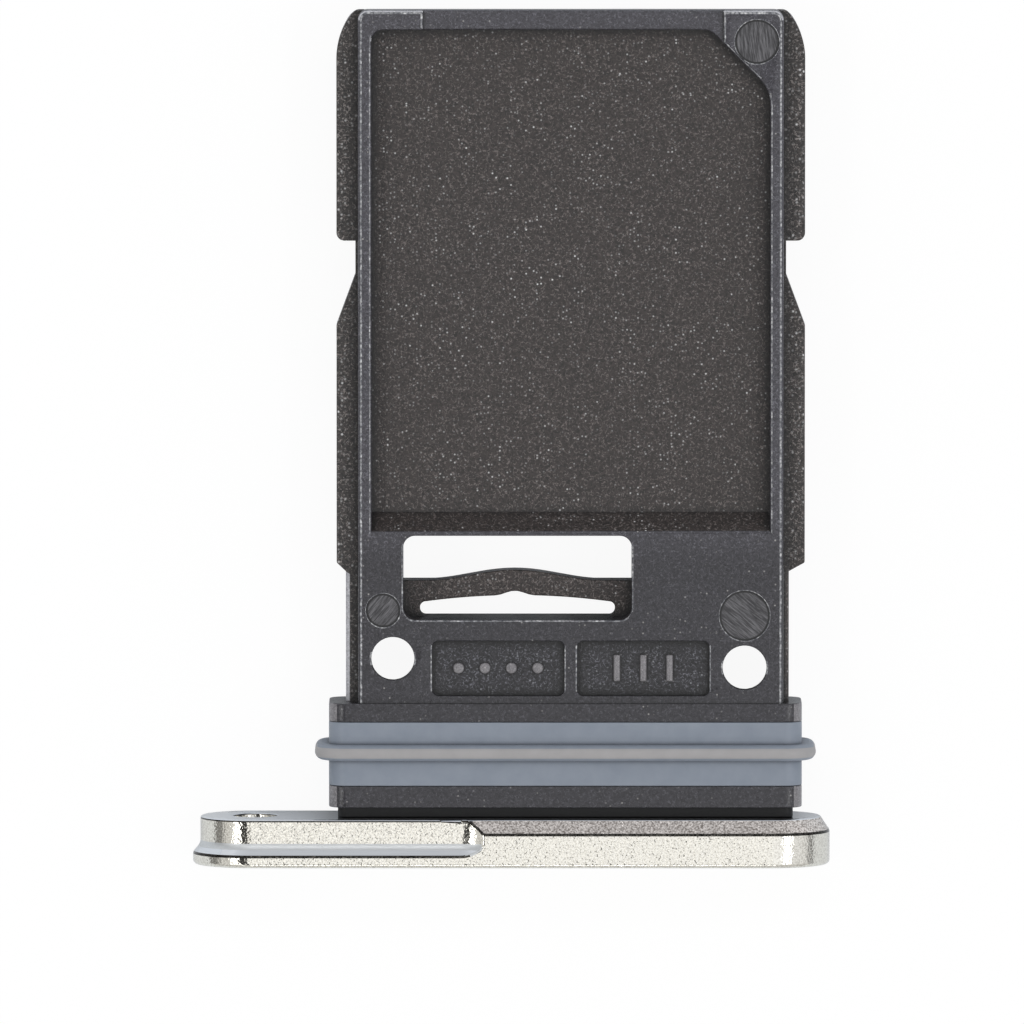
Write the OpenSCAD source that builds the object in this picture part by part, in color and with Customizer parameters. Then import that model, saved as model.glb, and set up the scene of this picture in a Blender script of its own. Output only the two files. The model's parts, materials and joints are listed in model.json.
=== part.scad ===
// Drawer that carries a nano card into the side of a phone: a metal face plate, a moulded tray
// and a seal ring moulded round the tray's shoulder. Millimetres.
// X runs along the face plate, Y from its front face to the insertion end, Z up through the card.
// The origin is at the middle of the footprint, level with the lowest point of the plate.

/* [Card] */
// Length of the card that the seat holds
card_length = 12.3; // [10:0.1:16]
// Width of the card
card_width = 8.8; // [7:0.1:11]
// Thickness of the card
card_thickness = 0.67; // [0.55:0.01:0.8]
// Leg of the card's cut corner
card_corner = 1.65; // [1:0.05:2]
// Room beside the card, on each side
card_side_room = 0.12; // [0.03:0.01:0.25]
// Room over the card, below the underside's rims
card_depth_room = 0.13; // [0.02:0.01:0.3]
// Room beyond the card's end, which the spring bow takes up
card_end_room = 0.3; // [0.15:0.01:0.5]

/* [Face plate] */
// How far the plate reaches beyond the shoulder at its pin end
plate_pin_reach = 3.105; // [2.5:0.005:6]
// How far the plate reaches beyond the shoulder at its plain end
plate_plain_reach = 0.645; // [0.4:0.005:3]
// Height of the plate, which is also the diameter of its round ends
plate_height = 2.68; // [2.5:0.02:4]
// Thickness of the plate, front to back
plate_depth = 1.1; // [0.9:0.05:2]
// Radius round the front edge
plate_front_r = 0.1; // [0.02:0.01:0.15]
// Radius round the back edge of the rebated end
plate_back_r = 0.06; // [0.02:0.01:0.1]
// Depth of the rebate round the pin end of the plate
rebate_inset = 0.17; // [0.05:0.01:0.25]
// Thickness of the lip left in front of the rebate
rebate_lip = 0.27; // [0.2:0.01:0.35]
// Length of the slope from the lip down to the rebate's floor
rebate_slope = 0.2; // [0.05:0.01:0.3]
// Where the rebate's flat floor stops, from the middle of the plate
rebate_stop_x = -1.15; // [-2:0.05:0]
// Radius of the cutter that runs out of the rebate
rebate_cutter_r = 0.88; // [0.5:0.01:1.5]
// Height of the chamfer round the back of the plain end
chamfer_height = 0.22; // [0.1:0.01:0.4]
// Depth of that chamfer, front to back
chamfer_depth = 0.33; // [0.1:0.01:0.4]
// Where the chamfer's full width starts, from the middle of the plate
chamfer_start_x = -0.61; // [-1:0.01:0.5]
// Radius of the cutter that runs out of the chamfer
chamfer_cutter_r = 1.55; // [1:0.01:2]
// Radius of the ejector pin's hole
pin_hole_r = 0.5; // [0.35:0.01:0.7]
// Distance from the plate's end to the middle of the pin hole
pin_hole_inset = 1.42; // [1:0.01:2]
// Bevel round the mouth of the pin hole
pin_hole_bevel = 0.04; // [0.01:0.01:0.1]

/* [Shoulder and seal] */
// How far the shoulder stands out beyond the tray's side, at the pin end
shoulder_pin_reach = 0.665; // [0.5:0.005:1]
// How far it stands out at the plain end
shoulder_plain_reach = 0.425; // [0.3:0.005:0.8]
// Height of the shoulder
shoulder_height = 2.0; // [1.95:0.01:2.4]
// Length of the shoulder, front to back
shoulder_length = 2.375; // [2.2:0.01:4]
// Radius of the shoulder's long corners
shoulder_r = 0.4; // [0.35:0.01:0.7]
// Length of the neck between the plate and the shoulder
neck_length = 0.255; // [0.1:0.005:0.5]
// How far the neck's ends are set in from the shoulder's
neck_end_inset = 0.2; // [0.03:0.01:0.4]
// How far the neck is set in above and below
neck_inset = 0.4; // [0.03:0.01:0.42]
// Depth of the moulded tongue inside the plate
tongue_depth = 0.5; // [0.2:0.05:0.7]
// How far the tongue's ends are set in from the shoulder's
tongue_end_inset = 0.875; // [0.5:0.005:2]
// Height of the tongue
tongue_height = 1.1; // [0.6:0.05:1.4]
// Width of the seal, front to back
seal_width = 1.45; // [1:0.05:1.7]
// Distance from the shoulder's plate side to the seal
seal_inset = 0.5; // [0.2:0.05:0.8]
// Depth of the groove that the seal fills
seal_depth = 0.25; // [0.1:0.01:0.4]
// Half width of the seal's ridge
ridge_r = 0.18; // [0.1:0.01:0.3]
// Height of the ridge over the shoulder
ridge_height = 0.32; // [0.3:0.01:0.33]
// How far the ridge lies off the seal's middle, towards the tray
ridge_offset = 0.035; // [0:0.005:0.2]

/* [Tray] */
// Thickness of the tray over its rims
tray_thickness = 1.9; // [1.8:0.05:1.95]
// Width of the rims beside the card
rim_width = 0.31; // [0.2:0.01:0.4]
// Width of the rim at the insertion end
end_rim = 0.45; // [0.3:0.01:0.8]
// Radius of the tray's corners at the insertion end
tip_r = 0.23; // [0.1:0.01:0.35]
// Slope under the insertion end, front to back
lead_in = 0.25; // [0.05:0.01:0.4]
// Distance from the shoulder to the card's seat
land_length = 2.72; // [2.4:0.02:4]
// Depth of the recess in the upper face
recess_depth = 0.55; // [0.3:0.01:0.7]
// Leg of the cut corner in the recess
recess_corner = 1.36; // [0.8:0.01:1.6]
// Radius where that corner turns into the side
recess_turn = 0.8; // [0.2:0.05:1.2]
// Radius of the recess's inside corners
recess_r = 0.26; // [0.05:0.01:0.4]
// Length of the slope from the recess's floor up to the land
recess_ramp = 0.43; // [0.2:0.01:0.8]
// Land left between that slope and the window
window_lip = 0.08; // [0.04:0.01:0.3]
// How far the middle stretch of the end rim is lower than its corners
end_step = 0.1; // [0.03:0.01:0.2]
// Length of the full-height corner on the pin side
pin_corner_length = 1.48; // [0.8:0.01:2]
// Length of the full-height corner on the cut-corner side
cut_corner_length = 1.37; // [1:0.01:1.5]

/* [Side rails] */
// Width of the side rails beyond the rims
rail_width = 0.49; // [0.3:0.01:0.7]
// Thickness of the rails
rail_thickness = 0.8; // [0.5:0.01:0.9]
// Length of the tapered corner at the insertion end
rail_taper = 1.1; // [0.6:0.05:2]
// Bluntness of that corner: 1 draws a quarter ellipse, less a straighter one
rail_blunt = 0.72; // [0.55:0.01:1]
// Distance from the insertion end to the catch notch
notch_start = 5.27; // [3:0.01:7]
// Length of the notch's floor
notch_length = 0.76; // [0.4:0.01:1.2]
// Length of the slope out of the notch
notch_ramp = 1.16; // [0.5:0.01:1.5]
// Thickness of rail left at the notch's floor
notch_floor = 0.06; // [0.02:0.01:0.2]
// Radius of the rail's corner at the notch
notch_r = 0.18; // [0.05:0.01:0.2]
// How far the rails reach past the card's seat towards the plate, measured back from it
rail_stop = 0.45; // [0.3:0.01:0.8]
// Length of the slanted end of each rail
rail_stop_slope = 0.2; // [0.05:0.01:0.4]
// Width of the strip beside the land, pin side
pin_strip = 0.28; // [0.15:0.01:0.4]
// Width of the strip beside the land, cut-corner side
cut_strip = 0.13; // [0.05:0.01:0.3]

/* [Window and spring] */
// Width of the window
window_width = 5.19; // [4:0.01:6]
// Sideways place of the window's middle, from the tray's middle
window_x = -1.21; // [-1.5:0.01:-0.5]
// Opening ahead of the card's seat, seen from above
window_open = 1.1; // [0.6:0.01:1.6]
// Radius of the window's corners
window_r = 0.27; // [0.1:0.01:0.35]
// Thickness of the spring, front to back
spring_thickness = 0.48; // [0.3:0.01:0.6]
// Height of the spring
spring_height = 0.7; // [0.4:0.01:0.75]
// Width of the slot behind the spring, at its ends
slot_width = 0.34; // [0.25:0.01:0.5]
// How far the slot's far edge bulges towards the card
slot_bulge = 0.14; // [0.05:0.01:0.2]
// Distance from the window's sides to the slot's ends
slot_inset = 0.375; // [0.2:0.005:0.6]
// Gap left between the bow's crown and the card
spring_gap = 0.06; // [0.01:0.01:0.12]
// Length of the straight root at each end of the bow
spring_root = 0.55; // [0.3:0.01:1]
// Sideways place of the bow's middle, from the window's middle
bow_x = -0.06; // [-0.3:0.01:0.3]
// Height of the small crown under the bow's middle
crown_height = 0.1; // [0.02:0.01:0.12]
// Width of that crown
crown_width = 0.9; // [0.5:0.05:1.5]

/* [Holes and marks] */
// Radius of the fixture hole on the pin side
pin_side_hole_r = 0.49; // [0.3:0.01:0.55]
// Distance of that hole from the tray's edge
pin_side_hole_inset = 0.79; // [0.72:0.01:1]
// Distance of that hole from the shoulder
pin_side_hole_y = 1.025; // [0.7:0.005:1.6]
// Radius of the fixture hole on the cut-corner side
cut_side_hole_r = 0.5; // [0.3:0.01:0.55]
// Distance of that hole from the tray's edge
cut_side_hole_inset = 0.88; // [0.75:0.01:1]
// Distance of that hole from the shoulder
cut_side_hole_y = 0.82; // [0.7:0.005:1.6]
// Length of the fixture holes' true bore under the land
fixture_bore_length = 0.2; // [0.2:0.01:0.6]
// How much wider the holes have grown where they leave the underside
fixture_relief = 0.16; // [0.05:0.01:0.18]
// Width of each of the two sunk fields on the land
field_width = 3.0; // [2:0.05:3.2]
// Length of the fields, front to back
field_length = 1.25; // [0.8:0.01:1.5]
// Gap between the fields
field_gap = 0.295; // [0.2:0.005:0.6]
// Distance from the shoulder to the fields
field_inset = 0.175; // [0.1:0.005:0.4]
// Depth of the fields
field_depth = 0.15; // [0.05:0.01:0.25]
// Radius of the fields' corners
field_r = 0.15; // [0.05:0.01:0.3]
// Radius of the raised pips in the first field
pip_r = 0.13; // [0.05:0.01:0.2]
// Distance between pips and between bars
pip_pitch = 0.6; // [0.5:0.01:0.8]
// Length of the raised bars in the second field
bar_length = 0.62; // [0.3:0.01:0.8]
// Width of the bars
bar_width = 0.16; // [0.08:0.01:0.3]
// Height of pips and bars over the field's floor
pip_height = 0.08; // [0.03:0.01:0.12]
// Depth of the round ejector marks
ejector_depth = 0.03; // [0.01:0.01:0.08]
// Radius of the ejector mark in the cut corner
corner_mark_r = 0.5; // [0.3:0.01:0.55]
// Radius of the ejector mark beside the pin-side hole
small_mark_r = 0.385; // [0.2:0.005:0.45]
// Radius of the ejector mark beside the other hole
large_mark_r = 0.57; // [0.3:0.01:0.6]

/* [Hidden] */
$fn = 64;

// Overrun of a cut past the face that it opens
over = 0.2;
// Steps in a drawn quarter arc, in a rail's tapered corner, and in half of the spring's bow
arc_steps = 6;
taper_steps = 10;
bow_steps = 16;

// Levels, from the middle of the plate's height
half_plate = plate_height / 2;
tray_top = tray_thickness / 2;
tray_bottom = -tray_top;
recess_floor = tray_top - recess_depth;
seat_depth = card_thickness + card_depth_room;
seat_roof = tray_bottom + seat_depth;
rail_top = recess_floor;
rail_bottom = rail_top - rail_thickness;

// Places from the plate's front face
neck_y = plate_depth;
shoulder_y = neck_y + neck_length;
shoulder_end_y = shoulder_y + shoulder_length;
seal_y = shoulder_y + seal_inset;
ridge_y = seal_y + seal_width / 2 + ridge_offset;
seat_y = shoulder_end_y + land_length;
seat_end_y = seat_y + card_end_room + card_length;
tip_y = seat_end_y + end_rim;
window_end_y = seat_y + window_open;
ramp_y = window_end_y + window_lip;
slot_end_y = seat_y - spring_thickness;
slot_y = slot_end_y - slot_width;

// Widths: the card sets the seat's, the seat the tray's, the tray the shoulder's and the plate's
seat_width = card_width + 2 * card_side_room;
half_tray = seat_width / 2 + rim_width;
shoulder_width = 2 * half_tray + shoulder_pin_reach + shoulder_plain_reach;
plate_length = shoulder_width + plate_pin_reach + plate_plain_reach;
tongue_width = shoulder_width - 2 * tongue_end_inset;

// Middles of the shoulder and of the tray, from the middle of the plate
shoulder_x = (plate_pin_reach - plate_plain_reach) / 2;
tray_x = shoulder_x + (shoulder_pin_reach - shoulder_plain_reach) / 2;
window_left = tray_x + window_x - window_width / 2;
window_right = window_left + window_width;
spring_rise = card_end_room - spring_gap;
seat_corner = card_corner + card_side_room * (1 - sqrt(2));

// Places along the plate
round_x = plate_length / 2 - half_plate;
blend_left = rebate_stop_x - rebate_cutter_r / 2;
blend_right = rebate_stop_x + rebate_cutter_r;
pin_hole_x = pin_hole_inset - plate_length / 2;

// Places of the fixture holes and the ejector marks: [x, y, radius]
pin_side_hole = [tray_x - half_tray + pin_side_hole_inset, shoulder_end_y + pin_side_hole_y,
                 pin_side_hole_r];
cut_side_hole = [tray_x + half_tray - cut_side_hole_inset, shoulder_end_y + cut_side_hole_y,
                 cut_side_hole_r];
mark_gap = 0.11;
corner_mark = [tray_x + half_tray - corner_mark_r - mark_gap,
               tip_y - corner_mark_r - 2 * mark_gap, corner_mark_r];
small_mark = [pin_side_hole[0] - 0.22,
              pin_side_hole[1] + pin_side_hole_r + small_mark_r + 2 * mark_gap, small_mark_r];
large_mark = [cut_side_hole[0], cut_side_hole[1] + cut_side_hole_r + large_mark_r + mark_gap,
              large_mark_r];

// Points of an arc about a centre, from one angle to another
function arc(centre, r, from, to, steps = arc_steps) =
    [for (i = [0:steps]) let (a = from + (to - from) * i / steps)
        [centre[0] + r * cos(a), centre[1] + r * sin(a)]];

// Height of the spring's bow at a share t of the way from its root to its middle
function bow(t) = (1 - cos(180 * min(max(t, 0), 1))) / 2;

// Extrudes a drawing of (Y, Z) along X
module along_x(x0, x1) {
    translate([x0, 0, 0]) rotate([90, 0, 90]) linear_extrude(x1 - x0) children();
}

// Extrudes a drawing of (X, Z) along Y
module along_y(y0, y1) {
    translate([0, y1, 0]) rotate([90, 0, 0]) linear_extrude(y1 - y0) children();
}

// Extrudes a drawing of (X, Y) between two levels
module between(z0, z1) {
    translate([0, 0, z0]) linear_extrude(z1 - z0) children();
}

// Rectangle from one corner to the other, with round corners
module round_rect(low, high, r) {
    size = high - low;
    translate(low + [r, 0]) square([size[0] - 2 * r, size[1]]);
    translate(low + [0, r]) square([size[0], size[1] - 2 * r]);
    for (x = [low[0] + r, high[0] - r], y = [low[1] + r, high[1] - r])
        translate([x, y]) circle(r);
}

// The shoulder's cross-section in (X, Z), grown or shrunk all round
module shoulder_section(grow = 0) {
    half = [shoulder_width / 2 + grow, shoulder_height / 2 + grow];
    translate([shoulder_x, 0]) round_rect(-half, half, shoulder_r + grow);
}

// Straight round bar along Y with its middle at (x, z)
module bar_y(x, z, y0, y1, r0, r1) {
    translate([x, y0, z]) rotate([-90, 0, 0]) cylinder(h = y1 - y0, r1 = r0, r2 = r1);
}

// Puts a copy of its children above and one below the plate's middle
module above_and_below() {
    children();
    mirror([0, 0, 1]) children();
}

// Half outline of the plate's section in (height, Y): the front corner is always round
front_corner = arc([half_plate - plate_front_r, plate_front_r], plate_front_r, -90, 0);
plain_outline = concat([[0, 0]], front_corner, [[half_plate, plate_depth], [0, plate_depth]]);
rebate_z = half_plate - rebate_inset;
rebate_floor_y = rebate_lip + rebate_slope;
rebated_outline = concat([[0, 0]], front_corner,
    [[half_plate, rebate_lip], [rebate_z, rebate_floor_y]],
    arc([rebate_z - plate_back_r, plate_depth - plate_back_r], plate_back_r, 0, 90),
    [[0, plate_depth]]);
chamfer_z = half_plate - chamfer_height;
chamfer_y = plate_depth - chamfer_depth;
chamfered_outline = concat([[0, 0]], front_corner,
    [[half_plate, chamfer_y], [chamfer_z, plate_depth], [0, plate_depth]]);

// Straight stretch of the plate with the given half outline
module plate_stretch(outline, x0, x1) {
    points = [for (p = outline) [p[1], p[0]]];
    mirrored = [for (p = points) [p[0], -p[1]]];
    along_x(x0, x1) {
        polygon(points);
        polygon(mirrored);
    }
}

// Round end of the plate with the given half outline, on the side that side (-1 or 1) names
module plate_end(outline, side) {
    translate([side * round_x, 0, 0]) rotate([-90, 0, 0])
        rotate([0, 0, side > 0 ? -90 : 90])
            rotate_extrude(angle = 180) polygon(outline);
}

// What the cutter takes as it runs out of the rebate
module rebate_runout() {
    axis_z = rebate_z + rebate_cutter_r;
    along_x(blend_left - over, rebate_stop_x)
        polygon([[rebate_lip, half_plate], [rebate_floor_y, rebate_z],
                 [plate_depth - plate_back_r, rebate_z], [plate_depth, rebate_z - plate_back_r],
                 [plate_depth + over, rebate_z - plate_back_r],
                 [plate_depth + over, half_plate + over], [rebate_lip, half_plate + over]]);
    bar_y(rebate_stop_x, axis_z, rebate_lip, rebate_floor_y, rebate_cutter_r - rebate_inset,
          rebate_cutter_r);
    bar_y(rebate_stop_x, axis_z, rebate_floor_y, plate_depth + over, rebate_cutter_r,
          rebate_cutter_r);
}

// What the cutter takes as it runs into the chamfer
module chamfer_runin() {
    slope = chamfer_height / chamfer_depth;
    axis_z = chamfer_z + chamfer_cutter_r;
    along_x(chamfer_start_x, blend_right + over)
        polygon([[chamfer_y, half_plate], [plate_depth, chamfer_z],
                 [plate_depth + over, chamfer_z - slope * over],
                 [plate_depth + over, half_plate]]);
    bar_y(chamfer_start_x, axis_z, chamfer_y, plate_depth + over,
          chamfer_cutter_r - chamfer_height, chamfer_cutter_r + slope * over);
}

// The neck's outline in (X, Z)
module neck_section() {
    half = [shoulder_width / 2 - neck_end_inset, shoulder_height / 2 - neck_inset];
    translate([shoulder_x, 0]) round_rect(-half, half, shoulder_r / 2);
}

// The tongue's outline in (X, Z), shared by the tray and the plate's slot
module tongue_section() {
    half = [tongue_width / 2, tongue_height / 2];
    translate([shoulder_x, 0]) round_rect(-half, half, tongue_height / 4);
}

module face_plate() {
    color("#d9d6cb") in_place() difference() {
        union() {
            plate_end(rebated_outline, -1);
            plate_stretch(rebated_outline, -round_x, blend_left);
            difference() {
                plate_stretch(plain_outline, blend_left, blend_right);
                above_and_below() {
                    rebate_runout();
                    chamfer_runin();
                }
            }
            plate_stretch(chamfered_outline, blend_right, round_x);
            plate_end(chamfered_outline, 1);
        }
        bar_y(pin_hole_x, 0, -over, plate_depth + over, pin_hole_r, pin_hole_r);
        bar_y(pin_hole_x, 0, -pin_hole_bevel, pin_hole_bevel, pin_hole_r + 2 * pin_hole_bevel,
              pin_hole_r);
        along_y(plate_depth - tongue_depth, plate_depth + over) tongue_section();
    }
}

// Outline of one side rail in (distance from the tray's side, Y), with its strip by the land
function rail_outline(strip) = let (
        notch_y = tip_y - notch_start,
        notch_end_y = notch_y - notch_length,
        ramp_end_y = notch_end_y - notch_ramp,
        stop_y = seat_y + rail_stop,
        strip_y = stop_y - rail_stop_slope)
    concat(
        [[-rim_width / 2, tip_y]],
        [for (i = [0:taper_steps]) let (a = 90 * i / taper_steps)
            [rail_width * sin(a), tip_y - rail_taper * pow(1 - cos(a), rail_blunt)]],
        arc([rail_width - notch_r, notch_y + notch_r], notch_r, 0, -90),
        [[notch_floor, notch_y], [notch_floor, notch_end_y], [rail_width, ramp_end_y],
         [rail_width, stop_y], [strip, strip_y], [strip, shoulder_end_y - over],
         [-rim_width / 2, shoulder_end_y - over]]);

// A side rail, on the side that side (-1 or 1) names
module rail(side, strip) {
    translate([tray_x + side * half_tray, 0, 0]) mirror([side < 0 ? 1 : 0, 0, 0])
        between(rail_bottom, rail_top) polygon(rail_outline(strip));
}

// Outline of the card's seat or of the recess over it, with its cut corner and the radii there
module card_outline(y0, leg, turn) {
    x0 = tray_x - seat_width / 2;
    x1 = tray_x + seat_width / 2;
    side_y = seat_end_y - leg - turn * tan(22.5);
    end_x = x1 - leg - turn / 2 * tan(22.5);
    difference() {
        union() {
            round_rect([x0, y0], [x1, seat_end_y], recess_r);
            translate([x0, y0]) square([seat_width, 2 * recess_r]);
        }
        polygon(concat(arc([end_x, seat_end_y - turn / 2], turn / 2, 90, 45),
                       arc([x1 - turn, side_y], turn, 45, 0),
                       [[x1 + over, side_y], [x1 + over, seat_end_y + over],
                        [end_x, seat_end_y + over]]));
    }
}

// Main slab of the tray between its rims' outer faces
module tray_slab() {
    x0 = tray_x - half_tray;
    x1 = tray_x + half_tray;
    between(tray_bottom, tray_top) {
        round_rect([x0, shoulder_end_y], [x1, tip_y], tip_r);
        translate([x0, shoulder_end_y - over]) square([2 * half_tray, 1]);
    }
}

// Recess in the upper face, with its cut corner and the slope up to the land
module recess_cut() {
    intersection() {
        between(recess_floor, tray_top + over) card_outline(ramp_y, recess_corner, recess_turn);
        along_x(tray_x - half_tray, tray_x + half_tray)
            polygon([[ramp_y, tray_top], [ramp_y + recess_ramp, recess_floor],
                     [tip_y, recess_floor], [tip_y, tray_top + over], [ramp_y, tray_top + over]]);
    }
}

// Step that lowers the end rim between its two corners
module end_step_cut() {
    x0 = tray_x - half_tray + pin_corner_length;
    x1 = tray_x + half_tray - cut_corner_length;
    translate([x0, seat_end_y - recess_corner, tray_top - end_step])
        cube([x1 - x0, end_rim + recess_corner + over, end_step + over]);
}

// Window through the land, down to the top of the spring
module window_cut() {
    between(seat_roof, tray_top + over)
        round_rect([window_left, slot_y], [window_right, window_end_y], window_r);
}

// Outline of the spring between the seat and the slot: far and near edges, from left to right
middle_x = (window_left + window_right) / 2;
bow_half = window_width / 2 - spring_root;
slot_half = window_width / 2 - slot_inset;
slot_r = slot_width * 0.4;
edge_half = slot_half - slot_r;
far_edge = [for (i = [-bow_steps:bow_steps]) let (u = i / bow_steps)
    [middle_x + bow_x + u * bow_half, seat_y + spring_rise * bow(1 - abs(u))]];
near_edge = [for (i = [-bow_steps:bow_steps]) let (u = i / bow_steps, x = u * edge_half)
    [middle_x + x, slot_end_y + slot_bulge * (1 - u * u)
        + crown_height * bow(1 - 2 * abs(x - bow_x) / crown_width)]];

// Slot behind the spring, through everything below the window
module slot_cut() {
    between(tray_bottom - over, seat_roof + over) {
        polygon(concat(near_edge, [[middle_x + edge_half, slot_y + slot_r],
                                   [middle_x - edge_half, slot_y + slot_r]]));
        round_rect([middle_x - slot_half, slot_y], [middle_x + slot_half, slot_end_y], slot_r);
    }
}

// The bow that pushes the card against the end rim
module spring_bow() {
    between(seat_roof - spring_height, seat_roof)
        polygon(concat(far_edge, [[middle_x + bow_x + bow_half, seat_y - spring_thickness / 3],
                                  [middle_x + bow_x - bow_half, seat_y - spring_thickness / 3]]));
}

// Card seat in the underside, open below
module seat_cut() {
    between(tray_bottom - over, seat_roof) card_outline(seat_y, seat_corner, recess_r);
}

// Slope under the insertion end that leads the tray into its slot
module lead_in_cut() {
    reach = half_tray + rail_width + over;
    along_x(tray_x - reach, tray_x + reach)
        polygon([[tip_y, recess_floor], [tip_y - lead_in, tray_bottom],
                 [tip_y - lead_in, tray_bottom - over], [tip_y + over, tray_bottom - over],
                 [tip_y + over, recess_floor]]);
}

// Fixture hole: a true bore under the land, then a taper that widens to the underside
module fixture_hole(hole) {
    bore_z = tray_top - fixture_bore_length;
    taper = fixture_relief / (bore_z - tray_bottom);
    translate([hole[0], hole[1], bore_z])
        cylinder(h = fixture_bore_length + over, r = hole[2]);
    translate([hole[0], hole[1], tray_bottom - over])
        cylinder(h = bore_z - tray_bottom + over, r1 = hole[2] + fixture_relief + taper * over,
                 r2 = hole[2]);
}

// Shallow round mark of an ejector
module ejector_mark(mark) {
    translate([mark[0], mark[1], tray_top - ejector_depth])
        cylinder(h = ejector_depth + over, r = mark[2]);
}

// Sunk field on the land, to the left or right of the tray's middle
field_y = shoulder_end_y + field_inset;
module field_cut(side) {
    middle = tray_x + side * (field_gap + field_width) / 2;
    between(tray_top - field_depth, tray_top + over)
        round_rect([middle - field_width / 2, field_y],
                   [middle + field_width / 2, field_y + field_length], field_r);
}

// Plain raised pips in one field and plain bars in the other
module field_pips() {
    pip_count = 4;
    bar_count = 3;
    floor_z = tray_top - field_depth;
    offset_x = (field_gap + field_width) / 2;
    for (i = [0:pip_count - 1])
        translate([tray_x - offset_x + (i - (pip_count - 1) / 2) * pip_pitch,
                   field_y + field_length / 2, floor_z - over / 4])
            cylinder(h = pip_height + over / 4, r = pip_r);
    for (i = [0:bar_count - 1])
        translate([tray_x + offset_x + (i - (bar_count - 1) / 2) * pip_pitch - bar_width / 2,
                   field_y + (field_length - bar_length) / 2, floor_z - over / 4])
            cube([bar_width, bar_length, pip_height + over / 4]);
}

// Shoulder with the groove that the seal fills, its neck and the tongue in the plate
module shoulder() {
    along_y(shoulder_y, seal_y) shoulder_section();
    along_y(seal_y - over / 2, seal_y + seal_width + over / 2) shoulder_section(-seal_depth);
    along_y(seal_y + seal_width, shoulder_end_y) shoulder_section();
    along_y(neck_y, shoulder_y + over / 2) neck_section();
    along_y(plate_depth - tongue_depth, neck_y + over / 2) tongue_section();
}

module tray_body() {
    color("#3c393a") in_place() {
        difference() {
            union() {
                tray_slab();
                rail(-1, pin_strip);
                rail(1, cut_strip);
                shoulder();
            }
            recess_cut();
            end_step_cut();
            seat_cut();
            window_cut();
            slot_cut();
            lead_in_cut();
            fixture_hole(pin_side_hole);
            fixture_hole(cut_side_hole);
            ejector_mark(corner_mark);
            ejector_mark(small_mark);
            ejector_mark(large_mark);
            field_cut(-1);
            field_cut(1);
        }
        spring_bow();
        field_pips();
    }
}

// Section of the ridge in (distance from the shoulder, Y), rooted in the band
module ridge_section(root) {
    translate([-root, -ridge_r]) square([root + ridge_height - ridge_r, 2 * ridge_r]);
    translate([ridge_height - ridge_r, 0]) circle(ridge_r);
}

// Ridge all round the shoulder: four straight runs and four quarter turns
module ridge() {
    root = seal_depth / 2;
    half_x = shoulder_width / 2 - shoulder_r;
    half_z = shoulder_height / 2 - shoulder_r;
    for (side = [0, 1]) {
        mirror([0, 0, side]) translate([-half_x, 0, shoulder_height / 2])
            rotate([90, 0, 90]) linear_extrude(2 * half_x)
                rotate([0, 0, 90]) ridge_section(root);
        mirror([side, 0, 0]) translate([shoulder_width / 2, 0, -half_z])
            linear_extrude(2 * half_z) ridge_section(root);
        for (end = [0, 1])
            mirror([side, 0, 0]) mirror([0, 0, end]) translate([half_x, 0, half_z])
                rotate([90, 0, 0]) rotate_extrude(angle = 90)
                    translate([shoulder_r, 0]) ridge_section(root);
    }
}

module seal_ring() {
    color("#868e99") in_place() {
        difference() {
            along_y(seal_y, seal_y + seal_width) shoulder_section();
            along_y(seal_y - over, seal_y + seal_width + over) shoulder_section(-seal_depth);
        }
        translate([shoulder_x, ridge_y, 0]) ridge();
    }
}

// Moves a piece from the plate's front face and mid height to the part's own origin
module in_place() {
    translate([0, -tip_y / 2, half_plate]) children();
}

face_plate();
tray_body();
seal_ring();
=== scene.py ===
"""Looks of a nano card's tray: blasted metal plate, moulded polycarbonate tray and silicone seal.

Everything is in metres in the part's own frame: X runs along the face plate, Y from the plate to
the insertion end, Z up through the card.
"""

import json
import logging
import math
from dataclasses import dataclass, field
from enum import Enum

import bmesh
import bpy
from bmesh.types import BMEdge
from bpy.types import Material, Node, NodeSocket, NodeTree, Object
from mathutils import Matrix, Vector

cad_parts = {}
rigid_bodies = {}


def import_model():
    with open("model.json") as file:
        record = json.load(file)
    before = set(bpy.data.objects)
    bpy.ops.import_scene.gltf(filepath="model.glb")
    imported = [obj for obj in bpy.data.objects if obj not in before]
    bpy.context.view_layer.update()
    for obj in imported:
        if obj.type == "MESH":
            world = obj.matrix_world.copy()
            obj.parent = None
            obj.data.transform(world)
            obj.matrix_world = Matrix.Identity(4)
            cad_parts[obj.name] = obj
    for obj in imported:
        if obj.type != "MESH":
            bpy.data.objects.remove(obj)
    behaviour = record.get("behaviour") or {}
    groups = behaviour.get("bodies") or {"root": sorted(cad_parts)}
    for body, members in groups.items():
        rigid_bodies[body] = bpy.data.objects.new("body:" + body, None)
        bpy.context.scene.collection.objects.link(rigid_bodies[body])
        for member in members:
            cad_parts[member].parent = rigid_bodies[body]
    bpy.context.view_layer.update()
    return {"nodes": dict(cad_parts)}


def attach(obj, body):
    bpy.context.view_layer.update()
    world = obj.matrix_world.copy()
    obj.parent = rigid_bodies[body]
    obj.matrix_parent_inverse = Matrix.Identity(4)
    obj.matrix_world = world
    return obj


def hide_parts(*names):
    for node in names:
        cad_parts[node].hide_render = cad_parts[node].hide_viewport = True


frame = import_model()

MM = 0.001
# Middle of the face plate's height, from which the tray's levels are measured.
MID_Z = 1.34 * MM
LOG = logging.getLogger("card_tray")


class PlateZone(Enum):
    """Which finish a face of the plate takes, in the order of its material slots."""

    BLASTED = 0
    MACHINED = 1
    EDGE = 2
    CHAMFER = 3
    FILLET = 4


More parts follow.
